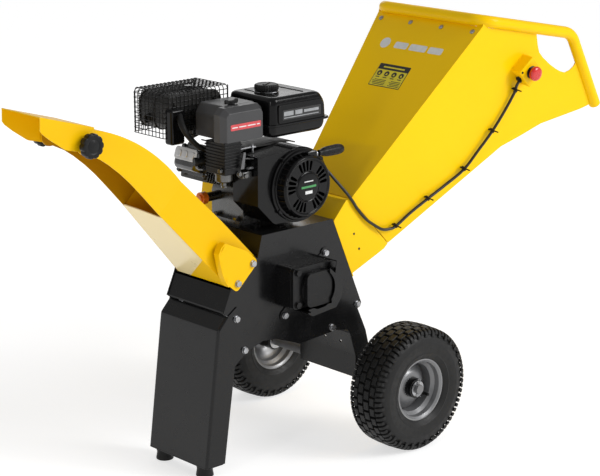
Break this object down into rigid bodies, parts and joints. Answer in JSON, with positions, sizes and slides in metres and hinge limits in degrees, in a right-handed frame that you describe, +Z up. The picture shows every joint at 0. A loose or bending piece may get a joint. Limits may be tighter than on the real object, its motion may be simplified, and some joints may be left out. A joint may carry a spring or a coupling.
{
  "type": "wood chipper",
  "caption": "Wheeled petrol wood chipper with a folded sheet hopper, drum housing on a leg and two tyred wheels, tilting chute deflector and recoil start engine.",
  "frame": {"origin": "on the ground under the middle of the machine's length and width", "axes": "+X towards the hopper mouth, +Y towards the belt cover side, +Z up; the discharge chute points to -X"},
  "size_m": [1.813, 0.676, 1.0906],
  "materials": {
    "black_sheet": "gloss powder coat",
    "rubber": "matt",
    "axle_steel": "satin",
    "zinc": "zinc plated",
    "rim_grey": "satin grey",
    "tyre": "matt",
    "cast_black": "painted cast",
    "tool_steel": "machined",
    "pulley_iron": "machined",
    "yellow_sheet": "gloss powder coat",
    "black_plastic": "satin",
    "red_plastic": "gloss",
    "cast_alloy": "as cast",
    "engine_black": "gloss",
    "rope": "braided",
    "hot_steel": "matt heat paint",
    "orange_plastic": "gloss"
  },
  "bodies": {
    "frame": {"housing_near_plate": "black_sheet", "housing_far_plate": "black_sheet", "housing_wrap": "black_sheet", "engine_mount_plate": "black_sheet", "support_leg": "black_sheet", "rubber_feet": "rubber", "axle_brackets": "black_sheet", "axle": "axle_steel", "wheel_retainers": "zinc", "bearing_standoff": "black_sheet", "flange_bearing_near": "cast_black", "flange_bearing_far": "cast_black", "bearing_guard": "black_sheet", "counter_knife": "tool_steel", "drive_belt": "rubber", "belt_cover": "yellow_sheet", "discharge_chute": "yellow_sheet", "hopper_shell": "yellow_sheet", "hopper_throat": "yellow_sheet", "handle_tube": "yellow_sheet", "estop_box": "yellow_sheet", "estop_cable": "rubber", "cable_clips": "black_plastic", "crankcase": "cast_alloy", "cylinder_block": "cast_alloy", "valve_cover": "cast_alloy", "fan_cover": "engine_black", "recoil_housing": "engine_black", "fuel_tank": "engine_black", "air_filter_box": "black_plastic", "carburettor": "black_plastic", "muffler": "hot_steel", "muffler_guard": "engine_black", "spark_lead": "rubber", "frame_bolts": "zinc", "hopper_screws": "zinc", "engine_bolts": "zinc"},
    "near_wheel": {"wheel_rim_near": "rim_grey", "tyre_near": "tyre", "valve_stem_near": "rubber"},
    "far_wheel": {"wheel_rim_far": "rim_grey", "tyre_far": "tyre", "valve_stem_far": "rubber"},
    "rotor": {"rotor_shaft": "tool_steel", "rotor_drum": "tool_steel", "rotor_knives": "tool_steel", "rotor_pulley": "pulley_iron"},
    "engine_crank": {"crankshaft": "tool_steel", "clutch_pulley": "pulley_iron"},
    "deflector": {"deflector": "yellow_sheet"},
    "knob_near": {"deflector_knob_near": "black_plastic"},
    "knob_far": {"deflector_knob_far": "black_plastic"},
    "stop_button": {"estop_button": "red_plastic"},
    "pull_starter": {"starter_handle": "black_plastic", "starter_rope": "rope"},
    "tank_cap": {"fuel_cap": "black_plastic"},
    "filter_knob": {"air_filter_knob": "black_plastic"},
    "choke": {"choke_lever": "zinc"},
    "throttle": {"throttle_lever": "zinc"},
    "oil_filler": {"oil_cap": "orange_plastic"}
  },
  "joints": [
    {"name": "near_wheel_spin", "type": "hinge", "parent": "frame", "child": "near_wheel", "pos_m": [0.0795, -0.28, 0.165], "axis": [0, 1, 0], "continuous": true},
    {"name": "far_wheel_spin", "type": "hinge", "parent": "frame", "child": "far_wheel", "pos_m": [0.0795, 0.28, 0.165], "axis": [0, 1, 0], "continuous": true},
    {"name": "rotor_spin", "type": "hinge", "parent": "frame", "child": "rotor", "pos_m": [-0.1555, 0, 0.455], "axis": [0, 1, 0], "continuous": true},
    {"name": "crank_spin", "type": "hinge", "parent": "frame", "child": "engine_crank", "pos_m": [-0.1405, 0, 0.708], "axis": [0, 1, 0], "continuous": true},
    {"name": "deflector_tilt", "type": "hinge", "parent": "frame", "child": "deflector", "pos_m": [-0.7785, 0, 0.9], "axis": [0, -1, 0], "range_deg": [0, 55]},
    {"name": "near_knob_turn", "type": "hinge", "parent": "deflector", "child": "knob_near", "pos_m": [-0.7785, -0.09, 0.9], "axis": [0, 1, 0], "continuous": true},
    {"name": "far_knob_turn", "type": "hinge", "parent": "deflector", "child": "knob_far", "pos_m": [-0.7785, 0.09, 0.9], "axis": [0, 1, 0], "continuous": true},
    {"name": "stop_button_press", "type": "slide", "parent": "frame", "child": "stop_button", "axis": [0.1101, 0.9882, 0.1063], "range_m": [0, 0.006], "stiffness_N_per_m": 800},
    {"name": "starter_pull", "type": "slide", "parent": "frame", "child": "pull_starter", "axis": [1, 0, 0], "range_m": [0, 0.12], "stiffness_N_per_m": 20, "deforming": ["starter_rope"]},
    {"name": "tank_cap_turn", "type": "hinge", "parent": "frame", "child": "tank_cap", "pos_m": [-0.1585, 0, 0.94], "axis": [0, 0, 1], "range_deg": [0, 90]},
    {"name": "filter_knob_turn", "type": "hinge", "parent": "frame", "child": "filter_knob", "pos_m": [-0.3125, -0.042, 0.93], "axis": [0, 0, 1], "continuous": true},
    {"name": "choke_turn", "type": "hinge", "parent": "frame", "child": "choke", "pos_m": [-0.3245, -0.09, 0.78], "axis": [0, 1, 0], "range_deg": [-45, 25]},
    {"name": "throttle_turn", "type": "hinge", "parent": "frame", "child": "throttle", "pos_m": [-0.2505, -0.05, 0.812], "axis": [0, 0, 1], "range_deg": [0, 40]},
    {"name": "oil_filler_turn", "type": "hinge", "parent": "frame", "child": "oil_filler", "pos_m": [-0.2655, 0.092, 0.664], "axis": [-1, 0, 0], "continuous": true}
  ],
  "couplings": [
    {"joint": "crank_spin", "follows": "rotor_spin", "ratio": 1.6}
  ]
}
